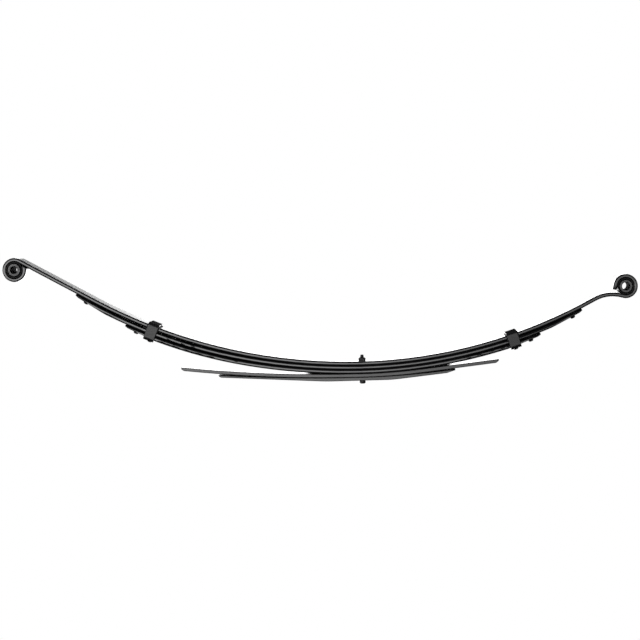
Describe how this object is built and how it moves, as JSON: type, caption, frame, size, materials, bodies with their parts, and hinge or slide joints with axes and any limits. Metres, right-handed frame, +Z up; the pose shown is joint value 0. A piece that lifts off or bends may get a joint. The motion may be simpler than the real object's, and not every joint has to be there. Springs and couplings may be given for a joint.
{
  "type": "leaf spring",
  "caption": "Multi-leaf suspension spring with rolled, rubber-bushed eyes at both ends, strap clips, leaf-tip pads and overload leaves, tied by a centre bolt.",
  "frame": {"origin": "centre-bolt axis at the flat seat face under the lowest leaf", "axes": "+X to the rear of the vehicle (the shorter arm, upturned eye), +Y across the leaves, +Z up from the seat"},
  "size_m": [1.3332, 0.0742, 0.2878],
  "materials": {
    "leaf_paint": "semi-gloss black paint on rolled spring steel",
    "clip_steel": "satin black paint on mild steel strap",
    "bolt_steel": "black phosphate",
    "sleeve_steel": "oiled dark steel",
    "bushing_rubber": "matt moulded rubber",
    "pad_plastic": "matt black nylon"
  },
  "bodies": {
    "leaf_pack": {"main_leaf": "leaf_paint", "second_leaf": "leaf_paint", "third_leaf": "leaf_paint", "upper_overload_leaf": "leaf_paint", "lower_overload_leaf": "leaf_paint", "centre_bolt": "bolt_steel", "centre_bolt_nut": "bolt_steel"},
    "front_arm": {"front_clip_band": "clip_steel", "front_clip_liner": "pad_plastic", "front_clip_rivet": "clip_steel", "second_leaf_front_tip_pad": "pad_plastic", "third_leaf_front_tip_pad": "pad_plastic", "front_bushing_outer_sleeve": "sleeve_steel", "front_bushing_rubber": "bushing_rubber"},
    "front_eye_sleeve": {"front_bushing_inner_sleeve": "sleeve_steel"},
    "rear_arm": {"rear_clip_band": "clip_steel", "rear_clip_liner": "pad_plastic", "rear_clip_rivet": "clip_steel", "second_leaf_rear_tip_pad": "pad_plastic", "third_leaf_rear_tip_pad": "pad_plastic", "rear_bushing_outer_sleeve": "sleeve_steel", "rear_bushing_rubber": "bushing_rubber"},
    "rear_eye_sleeve": {"rear_bushing_inner_sleeve": "sleeve_steel"}
  },
  "joints": [
    {"name": "front_flex", "type": "hinge", "parent": "leaf_pack", "child": "front_arm", "pos_m": [-0.2177, 0, 0.045], "axis": [0, -1, 0], "range_deg": [0, 11.5], "stiffness_Nm_per_rad": 3000, "deforming": ["main_leaf", "second_leaf", "third_leaf"]},
    {"name": "rear_flex", "type": "hinge", "parent": "leaf_pack", "child": "rear_arm", "pos_m": [0.1762, 0, 0.04], "axis": [0, 1, 0], "range_deg": [0, 7.5], "stiffness_Nm_per_rad": 3600},
    {"name": "front_eye_twist", "type": "hinge", "parent": "front_arm", "child": "front_eye_sleeve", "pos_m": [-0.72732, 0, 0.25404], "axis": [0, 1, 0], "range_deg": [-15, 15], "stiffness_Nm_per_rad": 80},
    {"name": "rear_eye_twist", "type": "hinge", "parent": "rear_arm", "child": "rear_eye_sleeve", "pos_m": [0.5551, 0, 0.1822], "axis": [0, 1, 0], "range_deg": [-15, 15], "stiffness_Nm_per_rad": 80}
  ]
}
